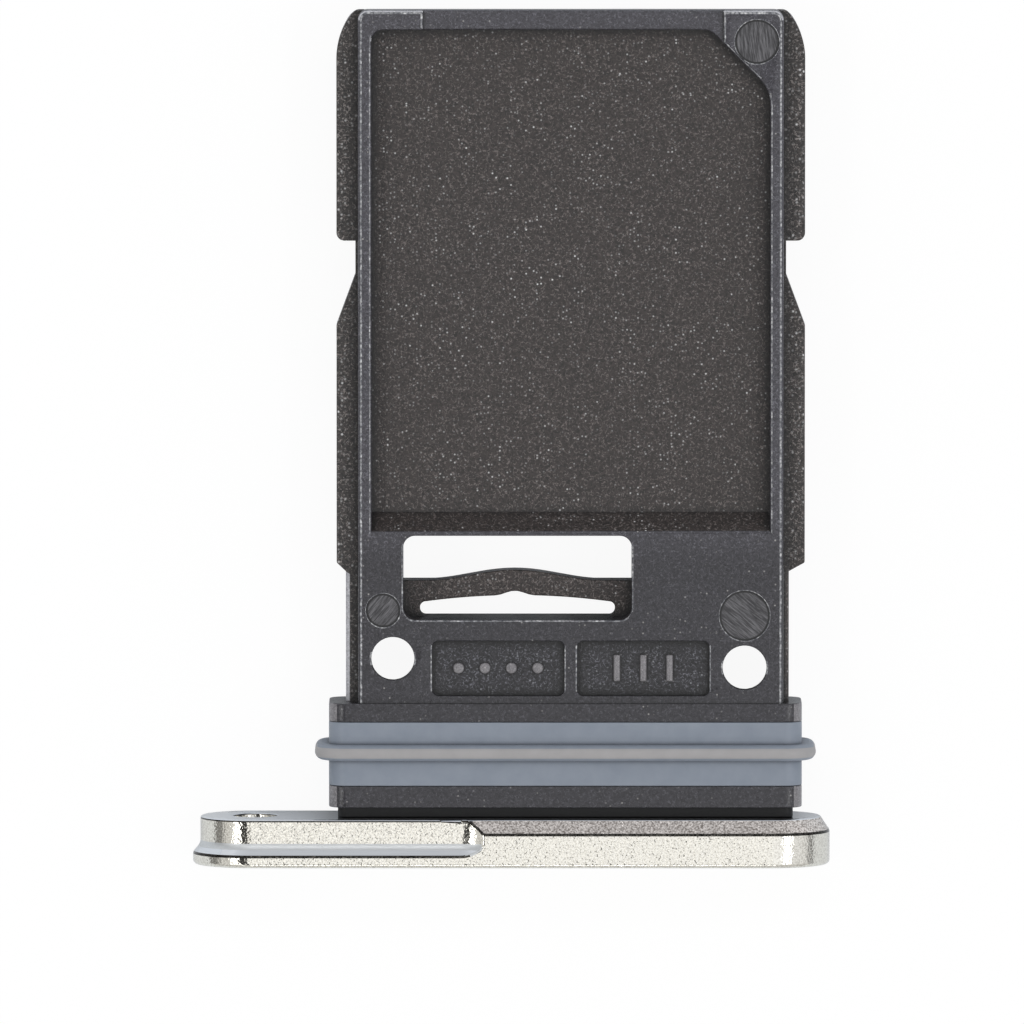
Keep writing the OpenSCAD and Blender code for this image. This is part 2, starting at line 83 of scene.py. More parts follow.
class TrayZone(Enum):
    """Which finish a face of the tray takes, in the order of its material slots."""

    SATIN = 0
    GRAINED = 1
    COARSE = 2
    EDGE = 3
    SHEEN = 4
    DARK = 5
    SUNK = 6
    CORNER_MARK = 7
    SMALL_MARK = 8
    LARGE_MARK = 9
    PAINTED_HIGHLIGHT = 10


class SealZone(Enum):
    """Which finish a face of the seal takes, in the order of its material slots."""

    BAND = 0
    RIDGE = 1


def linear(hex_colour: str) -> tuple[float, float, float, float]:
    """Turns an sRGB hex colour into linear light.

    Args:
        hex_colour: Six hex digits after a hash sign.

    Returns:
        Red, green, blue and an alpha of one.
    """
    parts = [int(hex_colour[i : i + 2], 16) / 255 for i in (1, 3, 5)]
    light = [c / 12.92 if c <= 0.04045 else ((c + 0.055) / 1.055) ** 2.4 for c in parts]
    return (light[0], light[1], light[2], 1.0)


def add_node(
    tree: NodeTree,
    kind: str,
    settings: dict[str, object] | None = None,
    inputs: dict[str | int, object] | None = None,
) -> Node:
    """Adds a node with its settings, input values and links.

    Args:
        tree: Node tree that gets the node.
        kind: Type of the shader node, as Blender calls it after "ShaderNode".
        settings: Attributes of the node.
        inputs: Input sockets by name or number, each with a value or with the socket that feeds it.

    Returns:
        The new node.
    """
    node = tree.nodes.new(f"ShaderNode{kind}")
    for key, value in (settings or {}).items():
        setattr(node, key, value)
    for key, value in (inputs or {}).items():
        if isinstance(value, NodeSocket):
            tree.links.new(value, node.inputs[key])
        else:
            node.inputs[key].default_value = value
    return node


def new_material(name: str) -> tuple[Material, NodeTree]:
    """Makes an empty node material.

    Args:
        name: Name of the material.

    Returns:
        The material and its node tree.
    """
    material = bpy.data.materials.new(name)
    material.use_nodes = True
    material.node_tree.nodes.clear()
    return material, material.node_tree


@dataclass(frozen=True)
class BlastedAluminium:
    """Aluminium blasted with fine glass beads and clear anodised.

    To the eye it is a warm silver whose beads' dimples catch the lamps one by one, so that it
    turns from cream to chrome to black as the surface bends.

    Attributes:
        name: Name of the material.
        colour: Colour of the brighter patches.
        shade: Colour of the darker patches.
        bead_mm: Spacing of the dimples.
        finer: How much finer the patches are than the dimples.
        patch_span: Noise levels at which the shade is left and the colour is reached.
        dimple_mm: Depth of the dimples.
        roughness: Roughness between the dimples.
    """

    name: str = "bead_blasted_aluminium"
    colour: str = "#f5f2e8"
    shade: str = "#d6d2c8"
    bead_mm: float = 0.052
    finer: float = 1.3
    patch_span: tuple[float, float] = (0.35, 0.6)
    dimple_mm: float = 0.007
    roughness: float = 0.1

    def material(self) -> Material:
        """Builds the finish as nodes.

        Returns:
            The new material.
        """
        made, tree = new_material(self.name)
        place = add_node(tree, "TexCoord").outputs["Object"]
        dimples = add_node(
            tree, "TexNoise", {},
            {"Vector": place, "Scale": 1 / (self.bead_mm * MM), "Detail": 1.0, "Roughness": 0.4},
        )
        tint = add_node(
            tree, "TexNoise", {},
            {"Vector": place, "Scale": self.finer / (self.bead_mm * MM), "Detail": 2.0},
        )
        low, high = self.patch_span
        share = add_node(
            tree, "MapRange", {},
            {"Value": tint.outputs["Fac"], "From Min": low, "From Max": high},
        )
        colour = add_node(
            tree, "Mix", {"data_type": "RGBA"},
            {"Factor": share.outputs["Result"], 6: linear(self.shade), 7: linear(self.colour)},
        )
        bump = add_node(
            tree, "Bump", {},
            {"Height": dimples.outputs["Fac"], "Strength": 1.0, "Distance": self.dimple_mm * MM},
        )
        shader = add_node(
            tree, "BsdfPrincipled", {},
            {"Base Color": colour.outputs[2], "Metallic": 1.0, "Roughness": self.roughness,
             "Normal": bump.outputs["Normal"]},
        )
        add_node(tree, "OutputMaterial", {}, {"Surface": shader.outputs["BSDF"]})
        return made


@dataclass(frozen=True)
class MachinedAluminium:
    """Aluminium as a fine cutter leaves it: nearly a mirror, with faint lines along the cut.

    Attributes:
        name: Name of the material.
        colour: Colour between the lines.
        line: Colour of the lines.
        line_mm: Spacing of the lines, drawn coarser than the cutter's own so that they show.
        stretch: Share that the noise's pace along the cut has of its pace across.
        roughness: Roughness of the cut.
    """

    name: str = "fine_machined_aluminium"
    colour: str = "#eef1f4"
    line: str = "#dfe3e8"
    line_mm: float = 0.03
    stretch: float = 0.04
    roughness: float = 0.07

    def material(self) -> Material:
        """Builds the finish as nodes.

        Returns:
            The new material.
        """
        made, tree = new_material(self.name)
        place = add_node(tree, "TexCoord").outputs["Object"]
        along = add_node(
            tree, "VectorMath", {"operation": "MULTIPLY"},
            {0: place, 1: (self.stretch, 1, 1)},
        )
        lines = add_node(
            tree, "TexNoise", {},
            {"Vector": along.outputs[0], "Scale": 1 / (self.line_mm * MM), "Detail": 2.0},
        )
        colour = add_node(
            tree, "Mix", {"data_type": "RGBA"},
            {"Factor": lines.outputs["Fac"], 6: linear(self.line), 7: linear(self.colour)},
        )
        shader = add_node(
            tree, "BsdfPrincipled", {},
            {"Base Color": colour.outputs[2], "Metallic": 1.0, "Roughness": self.roughness},
        )
        add_node(tree, "OutputMaterial", {}, {"Surface": shader.outputs["BSDF"]})
        return made


@dataclass(frozen=True)
class Polycarbonate:
    """Polycarbonate, injection moulded against steel that was spark eroded or polished.

    Eroded steel leaves wormy pits, with pale specks painted in clusters as glints, and polished
    steel a bluish satin. Corners get painted shade, and the colour changes by a factor towards the
    insertion end.

    Attributes:
        name: Name of the material.
        colour: Colour of the pits.
        mottle: Colour between the pits.
        speck: Colour of the specks, which are painted glints.
        worm: Colour of the wormy lines.
        worm_mm: Size of the wormy lines.
        worm_reach: Noise level, off its middle, at which a line has faded out.
        worm_breaks: Noise levels at which a break ends and the line is whole.
        finer: How much finer the breaks are than the lines.
        grain_mm: Spacing of the pits.
        mottle_span: Noise levels at which the colour is left and the mottle is reached.
        pit_mm: Depth of the pits.
        roughness: Roughness between the pits.
        speck_gap_mm: Mean distance between two specks.
        speck_mm: Radius of a speck.
        speck_luck: Share of the specks that show; over 1, all of them show and are brighter.
        speck_power: Power that makes the bright ones rare.
        cluster_mm: Size of the specks' clusters.
        cluster_span: Noise levels at which a cluster starts and is full.
        sparse: Strength of the specks between the clusters.
        corner_mm: How far the painted shade in a corner reaches.
        corner_depth: Power that the painted shade in a corner is raised to.
        end_tone_factor: Factor on the colour towards the insertion end.
        end_tone_from_mm: Where the colour starts to change, along Y.
        end_tone_to_mm: Where that factor is fully reached, along Y.
    """

    name: str
    colour: str
    mottle: str
    speck: str = "#c9c6c2"
    worm: str = "#857e7a"
    worm_mm: float = 0.085
    worm_reach: float = 0.05
    worm_breaks: tuple[float, float] = (0.43, 0.55)
    finer: float = 1.3
    grain_mm: float = 0.07
    mottle_span: tuple[float, float] = (0.36, 0.64)
    pit_mm: float = 0.012
    roughness: float = 0.42
    speck_gap_mm: float = 0.085
    speck_mm: float = 0.03
    speck_luck: float = 0.6
    speck_power: float = 1.6
    cluster_mm: float = 0.8
    cluster_span: tuple[float, float] = (0.35, 0.65)
    sparse: float = 0.1
    corner_mm: float = 0.2
    corner_depth: float = 2.0
    end_tone_factor: float = 1.0
    end_tone_from_mm: float = -3.0
    end_tone_to_mm: float = -1.8

    def material(self) -> Material:
        """Builds the finish as nodes.

        Returns:
            The new material.
        """
        made, tree = new_material(self.name)
        place = add_node(tree, "TexCoord").outputs["Object"]
        grain = add_node(
            tree, "TexNoise", {},
            {"Vector": place, "Scale": 1 / (self.grain_mm * MM), "Detail": 2.0, "Roughness": 0.6,
             "Distortion": 1.2},
        )
        low, high = self.mottle_span
        share = add_node(
            tree, "MapRange", {},
            {"Value": grain.outputs["Fac"], "From Min": low, "From Max": high},
        )
        base = add_node(
            tree, "Mix", {"data_type": "RGBA"},
            {"Factor": share.outputs["Result"], 6: linear(self.colour), 7: linear(self.mottle)},
        )
        pitted = add_node(
            tree, "Mix", {"data_type": "RGBA"},
            {"Factor": self.worms(tree, place), 6: base.outputs[2], 7: linear(self.worm)},
        )
        parts = add_node(tree, "SeparateXYZ", {}, {0: place})
        gain = add_node(
            tree, "MapRange", {"interpolation_type": "SMOOTHSTEP"},
            {"Value": parts.outputs["Y"], "From Min": self.end_tone_from_mm * MM,
             "From Max": self.end_tone_to_mm * MM, "To Min": 1.0, "To Max": self.end_tone_factor},
        )
        end_toned = add_node(
            tree, "VectorMath", {"operation": "SCALE"},
            {0: pitted.outputs[2], "Scale": gain.outputs["Result"]},
        )
        # Painted glints: the specks are mixed into the base colour.
        colour = add_node(
            tree, "Mix", {"data_type": "RGBA"},
            {"Factor": self.specks(tree, place), 6: end_toned.outputs[0], 7: linear(self.speck)},
        )
        # Painted shade: ambient occlusion darkens the colour in corners, raised to corner_depth.
        corners = add_node(
            tree, "AmbientOcclusion", {"samples": 8}, {"Distance": self.corner_mm * MM}
        )
        shade = add_node(
            tree, "Math", {"operation": "POWER"},
            {0: corners.outputs["AO"], 1: self.corner_depth},
        )
        shaded = add_node(
            tree, "VectorMath", {"operation": "SCALE"},
            {0: colour.outputs[2], "Scale": shade.outputs[0]},
        )
        bump = add_node(
            tree, "Bump", {},
            {"Height": grain.outputs["Fac"], "Strength": 1.0, "Distance": self.pit_mm * MM},
        )
        shader = add_node(
            tree, "BsdfPrincipled", {},
            {"Base Color": shaded.outputs[0], "IOR": 1.58, "Roughness": self.roughness,
             "Normal": bump.outputs["Normal"]},
        )
        add_node(tree, "OutputMaterial", {}, {"Surface": shader.outputs["BSDF"]})
        return made

    def worms(self, tree: NodeTree, place: NodeSocket) -> NodeSocket:
        """Draws short curved lines, where the rims of neighbouring pits run together.

        Args:
            tree: Node tree that gets the nodes.
            place: Socket with the coordinates.

        Returns:
            The socket with each point's share of line.
        """
        hills = add_node(
            tree, "TexNoise", {},
            {"Vector": place, "Scale": 1 / (self.worm_mm * MM), "Detail": 1.0},
        )
        height = add_node(
            tree, "Math", {"operation": "SUBTRACT"}, {0: hills.outputs["Fac"], 1: 0.5}
        )
        off = add_node(tree, "Math", {"operation": "ABSOLUTE"}, {0: height.outputs[0]})
        line = add_node(
            tree, "MapRange", {"interpolation_type": "SMOOTHSTEP"},
            {"Value": off.outputs[0], "From Min": 0.0, "From Max": self.worm_reach,
             "To Min": 1.0, "To Max": 0.0},
        )
        breaks = add_node(
            tree, "TexNoise", {},
            {"Vector": place, "Scale": self.finer / (self.worm_mm * MM), "Detail": 0.0},
        )
        low, high = self.worm_breaks
        kept = add_node(
            tree, "MapRange", {},
            {"Value": breaks.outputs["Color"], "From Min": low, "From Max": high},
        )
        both = add_node(
            tree, "Math", {"operation": "MULTIPLY"},
            {0: line.outputs["Result"], 1: kept.outputs["Result"]},
        )
        return both.outputs[0]

    def specks(self, tree: NodeTree, place: NodeSocket) -> NodeSocket:
        """Scatters round specks in clusters, of which a few are bright: painted glints.

        Args:
            tree: Node tree that gets the nodes.
            place: Socket with the coordinates.

        Returns:
            The socket with each point's share of speck.
        """
        cells = add_node(
            tree, "TexVoronoi", {"feature": "F1"},
            {"Vector": place, "Scale": 1 / (self.speck_gap_mm * MM), "Randomness": 1.0},
        )
        spot = add_node(
            tree, "MapRange", {"interpolation_type": "SMOOTHSTEP"},
            {"Value": cells.outputs["Distance"], "From Min": 0.0,
             "From Max": self.speck_mm / self.speck_gap_mm, "To Min": 1.0, "To Max": 0.0},
        )
        chance = add_node(
            tree, "SeparateColor", {}, {"Color": cells.outputs["Color"]}
        )
        luck = add_node(
            tree, "MapRange", {},
            {"Value": chance.outputs["Red"], "From Min": 1 - self.speck_luck, "From Max": 1.0},
        )
        rare = add_node(
            tree, "Math", {"operation": "POWER"},
            {0: luck.outputs["Result"], 1: self.speck_power},
        )
        patches = add_node(
            tree, "TexNoise", {},
            {"Vector": place, "Scale": 1 / (self.cluster_mm * MM), "Detail": 1.0},
        )
        low, high = self.cluster_span
        cluster = add_node(
            tree, "MapRange", {},
            {"Value": patches.outputs["Fac"], "From Min": low, "From Max": high,
             "To Min": self.sparse, "To Max": 1.0},
        )
        strength = add_node(
            tree, "Math", {"operation": "MULTIPLY"},
            {0: rare.outputs[0], 1: cluster.outputs["Result"]},
        )
        both = add_node(
            tree, "Math", {"operation": "MULTIPLY"},
            {0: spot.outputs["Result"], 1: strength.outputs[0]},
        )
        return both.outputs[0]


@dataclass(frozen=True)
class RoundMark:
    """Print of an ejector pin on the tray.

    Attributes:
        zone: Finish of the print.
        x: Its middle along X, in mm.
        y: Its middle along Y, in mm.
        radius: Its radius in mm.
        turn: Angle of its streaks in radians.
    """

    zone: TrayZone
    x: float
    y: float
    radius: float
    turn: float

    def reach(self, point: Vector) -> float:
        """Returns how far a point lies from the mark's middle, seen from above."""
        return math.hypot(point.x - self.x * MM, point.y - self.y * MM)

    def rims(self, point: Vector, near: float) -> bool:
        """Tells whether a point lies on the mark's edge, or no farther off than near."""
        return abs(self.reach(point) - self.radius * MM) < near


@dataclass(frozen=True)
class PinPrint:
    """Print of an ejector pin's ground end: plastic with straight scratches in one direction.

    A dark line is painted round it: painted shade along the print's shallow wall.

    Attributes:
        mark: The print's place.
        colour: Colour between the scratches.
        streak: Colour of the scratches.
        line: Colour of the painted shade line round the print.
        streak_mm: Spacing of the scratches.
        streak_span: Noise levels at which a scratch starts and is full.
        stretch: Share that the noise's pace along a scratch has of its pace across.
        ridge_mm: Height of the scratches.
        line_mm: Width of the line round the print.
        blur_mm: Width over which the line fades.
        roughness: Roughness of the print.
    """

    mark: RoundMark
    colour: str = "#29282b"
    streak: str = "#78777a"
    line: str = "#0d0d0e"
    streak_mm: float = 0.03
    streak_span: tuple[float, float] = (0.4, 0.72)
    stretch: float = 0.08
    ridge_mm: float = 0.004
    line_mm: float = 0.035
    blur_mm: float = 0.015
    roughness: float = 0.3

    def material(self) -> Material:
        """Builds the finish as nodes.

        Returns:
            The new material.
        """
        made, tree = new_material(f"{self.mark.zone.name.lower()}_pin_print")
        place = add_node(tree, "TexCoord").outputs["Object"]
        along = add_node(
            tree, "Mapping", {}, {"Vector": place, "Rotation": (0.0, 0.0, self.mark.turn)}
        )
        drawn = add_node(
            tree, "VectorMath", {"operation": "MULTIPLY"},
            {0: along.outputs[0], 1: (1, self.stretch, 1)},
        )
        streaks = add_node(
            tree, "TexNoise", {},
            {"Vector": drawn.outputs[0], "Scale": 1 / (self.streak_mm * MM), "Detail": 3.0,
             "Roughness": 0.7},
        )
        low, high = self.streak_span
        share = add_node(
            tree, "MapRange", {},
            {"Value": streaks.outputs["Fac"], "From Min": low, "From Max": high},
        )
        ground = add_node(
            tree, "Mix", {"data_type": "RGBA"},
            {"Factor": share.outputs["Result"], 6: linear(self.colour), 7: linear(self.streak)},
        )
        flat = add_node(
            tree, "VectorMath", {"operation": "MULTIPLY"}, {0: place, 1: (1, 1, 0)}
        )
        reach = add_node(
            tree, "VectorMath", {"operation": "DISTANCE"},
            {0: flat.outputs[0], 1: (self.mark.x * MM, self.mark.y * MM, 0)},
        )
        # Painted shade: a dark line along the print's edge.
        edge = (self.mark.radius - self.line_mm) * MM
        rim = add_node(
            tree, "MapRange", {},
            {"Value": reach.outputs["Value"], "From Min": edge - self.blur_mm * MM,
             "From Max": edge},
        )
        colour = add_node(
            tree, "Mix", {"data_type": "RGBA"},
            {"Factor": rim.outputs["Result"], 6: ground.outputs[2], 7: linear(self.line)},
        )
        bump = add_node(
            tree, "Bump", {},
            {"Height": streaks.outputs["Fac"], "Strength": 1.0, "Distance": self.ridge_mm * MM},
        )
        shader = add_node(
            tree, "BsdfPrincipled", {},
            {"Base Color": colour.outputs[2], "IOR": 1.58, "Roughness": self.roughness,
             "Normal": bump.outputs["Normal"]},
        )
        add_node(tree, "OutputMaterial", {}, {"Surface": shader.outputs["BSDF"]})
        return made


@dataclass(frozen=True)
class Silicone:
    """Silicone rubber, moulded in steel and then used: smooth, soft sheen, slightly dusty.

    Attributes:
        name: Name of the material.
        colour: Colour of the clean rubber.
        dusty: Colour of the dusty rubber.
        cloud_mm: Size of the dusty clouds.
        roughness: Roughness of the rubber.
        corner_mm: How far the painted shade in a corner reaches.
    """

    name: str = "moulded_silicone"
    colour: str = "#848d99"
    dusty: str = "#969da8"
    cloud_mm: float = 0.35
    roughness: float = 0.42
    corner_mm: float = 0.1

    def material(self) -> Material:
        """Builds the finish as nodes.

        Returns:
            The new material.
        """
        made, tree = new_material(self.name)
        place = add_node(tree, "TexCoord").outputs["Object"]
        clouds = add_node(
            tree, "TexNoise", {},
            {"Vector": place, "Scale": 1 / (self.cloud_mm * MM), "Detail": 4.0},
        )
        colour = add_node(
            tree, "Mix", {"data_type": "RGBA"},
            {"Factor": clouds.outputs["Fac"], 6: linear(self.colour), 7: linear(self.dusty)},
        )
        # Painted shade: ambient occlusion darkens the rubber's colour in corners.
        corners = add_node(
            tree, "AmbientOcclusion", {"samples": 8},
            {"Color": colour.outputs[2], "Distance": self.corner_mm * MM},
        )
        shader = add_node(
            tree, "BsdfPrincipled", {},
            {"Base Color": corners.outputs["Color"], "IOR": 1.41, "Roughness": self.roughness},
        )
        add_node(tree, "OutputMaterial", {}, {"Surface": shader.outputs["BSDF"]})
        return made


MARKS = (
    RoundMark(TrayZone.CORNER_MARK, 5.57, 9.03, 0.5, math.radians(-8)),
    RoundMark(TrayZone.SMALL_MARK, -2.91, -3.90, 0.385, math.radians(40)),
    RoundMark(TrayZone.LARGE_MARK, 5.30, -4.02, 0.57, math.radians(-51)),
)
# Glass beads leave a warm silver that glitters evenly.
BLASTED = BlastedAluminium()
# The cutter leaves the back and the slope mirror-bright.
MACHINED = MachinedAluminium()
# Painted shade on the plate's back-leaning edges: a dark line with glints, as if they looked past the
# lamps.
CUT_EDGE = BlastedAluminium("dark_cut_edge_aluminium", "#4c4a46", "#060606", bead_mm=0.045)
# The slope's fillet is dulled to an even pale grey.
SOFT = MachinedAluminium("soft_fillet_aluminium", "#e4e6e6", "#cfd2d3", roughness=0.42)
# Deeper dimples make the chamfer rosy, dark and bright.
SPARKLING = BlastedAluminium(
    "glittering_chamfer_aluminium", "#f7f0ea", "#978f89", bead_mm=0.055, dimple_mm=0.014,
)
# Polished steel leaves a bluish black satin; its rare specks are painted glints, and it is lighter
# towards the insertion end.
SATIN = Polycarbonate(
    "satin_polycarbonate", "#252428", "#38373c", worm="#504f55", pit_mm=0.005, roughness=0.26,
    speck_gap_mm=0.12, speck_mm=0.03, speck_luck=0.5, end_tone_factor=1.8,
)
# Eroded steel leaves a brownish black with fine pale lines; its specks are painted glints, its
# corners get deep painted shade, and it is darker towards the insertion end.
GRAINED = Polycarbonate(
    "spark_eroded_polycarbonate", "#221d1b", "#483f3c", "#ffffff", "#877e7a", speck_mm=0.031,
    speck_luck=0.65, corner_depth=3.0, end_tone_factor=0.68,
)
# On the rails, deeper erosion leaves black pits; the bright specks are painted glints, and painted
# shade reaches far out from the walls.
COARSE = Polycarbonate(
    "coarse_eroded_polycarbonate", "#0d0b0a", "#443e3b", "#ffffff", "#948c88", speck_gap_mm=0.08,
    speck_mm=0.042, speck_luck=0.65, cluster_mm=0.25, corner_mm=0.3,
)
# Painted highlight on rounded edges: grey lines with pale dots.
EDGE = Polycarbonate(
    "painted_highlight_edge_polycarbonate", "#3e3f45", "#64656b", "#ffffff", "#8a8b91", grain_mm=0.05,
    pit_mm=0.01, roughness=0.22, speck_gap_mm=0.075, speck_mm=0.065, speck_luck=1.6,
    cluster_mm=0.3, sparse=0.5, corner_mm=0.03,
)
# An even pale grey: painted highlight on the shoulder's sideways ends, and the pips' and bars' own
# pale tone.
SHEEN = Polycarbonate(
    "pale_sign_and_painted_sheen_polycarbonate", "#727073", "#8c898b", worm="#9a989a", pit_mm=0.005, roughness=0.26,
    speck_luck=0.3,
)
# Painted highlight: pale facets and strips that stand in for the lamps' reflection.
PAINTED_HIGHLIGHT = Polycarbonate(
    "painted_highlight_facet_polycarbonate", "#a3a3a8", "#cfcfd4", "#ffffff", "#b9b9be", pit_mm=0.004,
    roughness=0.2, speck_luck=0.4, corner_mm=0.03,
)
# Painted shade: the neck, where little light gets, is coloured nearly black.
DARK = Polycarbonate(
    "unlit_polycarbonate", "#060607", "#0e0d0f", "#3a3a3e", "#161518", pit_mm=0.004,
    roughness=0.6, speck_luck=0.2,
)
# The sunk fields are nearly black, with bluish pale lines; their specks are painted glints, and deep
# painted shade lies along their walls.
SUNK = Polycarbonate(
    "eroded_field_polycarbonate", "#0d0d0f", "#323136", "#c8cad0", "#72727a", speck_luck=0.8,
    corner_mm=0.3, corner_depth=4.0,
)
# Clean silicone is a cool blue-grey with a soft sheen.
SILICONE = Silicone()
# Painted highlight on the ridge's top: a neutral, paler grey.
PAINTED_RIDGE_HIGHLIGHT = Silicone("painted_highlight_silicone", "#a19f9f", "#b0aeae")


@dataclass
class Moulding:
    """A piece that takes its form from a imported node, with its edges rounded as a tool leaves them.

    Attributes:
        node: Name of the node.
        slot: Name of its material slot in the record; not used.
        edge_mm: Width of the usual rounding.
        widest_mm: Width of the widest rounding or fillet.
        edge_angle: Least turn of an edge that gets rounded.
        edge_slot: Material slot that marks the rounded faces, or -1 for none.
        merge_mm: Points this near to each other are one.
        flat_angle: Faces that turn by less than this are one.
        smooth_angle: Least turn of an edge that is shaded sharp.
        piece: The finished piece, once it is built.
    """

    node: str
    slot: str
    edge_mm: float
    widest_mm: float
    edge_angle: float = math.radians(30)
    edge_slot: int = -1
    merge_mm: float = 0.0005
    flat_angle: float = math.radians(0.5)
    smooth_angle: float = math.radians(35)
    piece: Object | None = field(default=None, init=False)

    def finishes(self) -> list[Material]:
        """Builds the materials in the order of the piece's slots."""
        raise NotImplementedError

    def zone(self, centre: Vector, normal: Vector, rounded: bool) -> Enum:
        """Tells which finish a face takes from where it lies and from the way it looks.

        Args:
            centre: Middle of the face, in metres.
            normal: The face's outward normal.
            rounded: Whether the face belongs to a rounded edge.

        Returns:
            The face's zone, whose value is its material slot.
        """
        raise NotImplementedError

    def rounding(self, edge: BMEdge) -> float:
        """Returns the width of the rounding along one outside edge, in mm."""
        return self.edge_mm

    def fillet(self, edge: BMEdge) -> float:
        """Returns the width of the fillet along one inside edge, in mm."""
        return 0.0

    def weigh_edges(self) -> None:
        """Writes each sharp edge's rounding or fillet, as a share of the widest one."""
        form = bmesh.new()
        form.from_mesh(self.piece.data)
        weight = form.edges.layers.float.new("bevel_weight_edge")
        for edge in form.edges:
            turn = edge.calc_face_angle_signed(0.0)
            if turn > self.edge_angle:
                edge[weight] = self.rounding(edge) / self.widest_mm
            elif turn < -self.edge_angle:
                edge[weight] = self.fillet(edge) / self.widest_mm
        form.to_mesh(self.piece.data)
        form.free()

    def copy_node(self) -> Object:
        """Copies the node with its finishes, and merges its triangles to whole faces.

        Returns:
            The copy, selected and active.
        """
        source = frame["nodes"][self.node]
        bpy.ops.object.select_all(action="DESELECT")
        source.select_set(True)
        bpy.context.view_layer.objects.active = source
        bpy.ops.object.duplicate()
        piece = bpy.context.view_layer.objects.active
        piece.name = piece.data.name = f"{self.node}_finished"
        piece.data.materials.clear()
        for material in self.finishes():
            piece.data.materials.append(material)
        bpy.ops.object.parent_clear(type="CLEAR_KEEP_TRANSFORM")
        bpy.ops.object.mode_set(mode="EDIT")
        bpy.ops.mesh.customdata_custom_splitnormals_clear()
        bpy.ops.mesh.select_all(action="SELECT")
        bpy.ops.mesh.remove_doubles(threshold=self.merge_mm * MM)
        bpy.ops.mesh.dissolve_limited(angle_limit=self.flat_angle)
        bpy.ops.object.mode_set(mode="OBJECT")
        return piece

    def round_edges(self) -> None:
        """Rounds the weighted edges, and keeps the flat faces between them flat."""
        rounded = self.piece.modifiers.new("tool_edges", "BEVEL")
        rounded.width = self.widest_mm * MM
        rounded.segments = 3
        rounded.limit_method = "WEIGHT"
        rounded.use_clamp_overlap = False
        rounded.loop_slide = False
        rounded.material = self.edge_slot
        rounded.miter_outer = "MITER_ARC"
        bpy.ops.object.modifier_apply(modifier=rounded.name)
        bpy.ops.object.shade_smooth_by_angle(angle=self.smooth_angle)
        weighted = self.piece.modifiers.new("flat_faces_stay_flat", "WEIGHTED_NORMAL")
        weighted.keep_sharp = True
        bpy.ops.object.modifier_apply(modifier=weighted.name)

    def dress(self) -> None:
        """Gives each face the finish of its zone."""
        for face in self.piece.data.polygons:
            rounded = face.material_index == self.edge_slot
            face.material_index = self.zone(face.center, face.normal, rounded).value

    def build(self) -> Object:
        """Makes the piece from its node, attaches it to the root and hides the node that it replaces.

        Returns:
            The finished piece.
        """
        piece = self.copy_node()
        self.piece = piece
        self.weigh_edges()
        self.round_edges()
        self.dress()
        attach(piece, "root")
        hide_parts(self.node)
        return piece


@dataclass
class FacePlate(Moulding):
    """The metal end plate: blasted flats, machined back and slope, and a glittering chamfer.

    A face's lean is how far it looks towards the insertion end, from -1 to 1.

    Attributes:
        foot_y: Where the slope of the rebate meets its floor.
        slope_y: Stretch that the slope takes up, with its fillet.
        back_y: Where the rounding of the back's edge starts.
        turning_lean: Least lean of a face that turns to the back.
        sloping_lean: Least lean of a face of the slope.
        back_lean: Least lean of a face that belongs to the back.
        near: How far a point may lie from a line that it counts as on.
    """

    node: str = "face_plate"
    slot: str = "face_plate"
    edge_mm: float = 0.035
    widest_mm: float = 0.08
    edge_slot: int = PlateZone.EDGE.value
    foot_y: float = -9.28 * MM
    slope_y: tuple[float, float] = (-9.455 * MM, -9.17 * MM)
    back_y: float = -8.72 * MM
    turning_lean: float = 0.1
    sloping_lean: float = 0.12
    back_lean: float = 0.6
    near: float = 0.012 * MM

    def finishes(self) -> list[Material]:
        """Builds the finishes of the flats, cut faces, edges, chamfer and fillet."""
        return [finish.material() for finish in (BLASTED, MACHINED, CUT_EDGE, SPARKLING, SOFT)]

    def fillet(self, edge: BMEdge) -> float:
        """Rounds the foot of the slope, where it meets the rebate's floor.

        Args:
            edge: Inside edge of the plate.

        Returns:
            The width of its fillet in mm.
        """
        at_foot = all(abs(vert.co.y - self.foot_y) < self.near for vert in edge.verts)
        return self.widest_mm if at_foot else 0.0

    def zone(self, centre: Vector, normal: Vector, rounded: bool) -> PlateZone:
        """Tells which finish a face takes from where it lies and how far it leans back.

        Args:
            centre: Middle of the face, in metres.
            normal: The face's outward normal.
            rounded: Whether the face belongs to a rounded edge.

        Returns:
            The face's zone.
        """
        lean = normal.y
        low, high = self.slope_y
        if low < centre.y < high:
            if lean < self.sloping_lean:
                return PlateZone.BLASTED
            return PlateZone.FILLET if rounded else PlateZone.MACHINED
        if lean > self.back_lean:
            return PlateZone.MACHINED
        turning = rounded or centre.y > self.back_y
        # Painted shade: edges that turn towards the back take the dark cut-edge finish.
        if lean > self.turning_lean:
            return PlateZone.EDGE if turning else PlateZone.CHAMFER
        return PlateZone.BLASTED


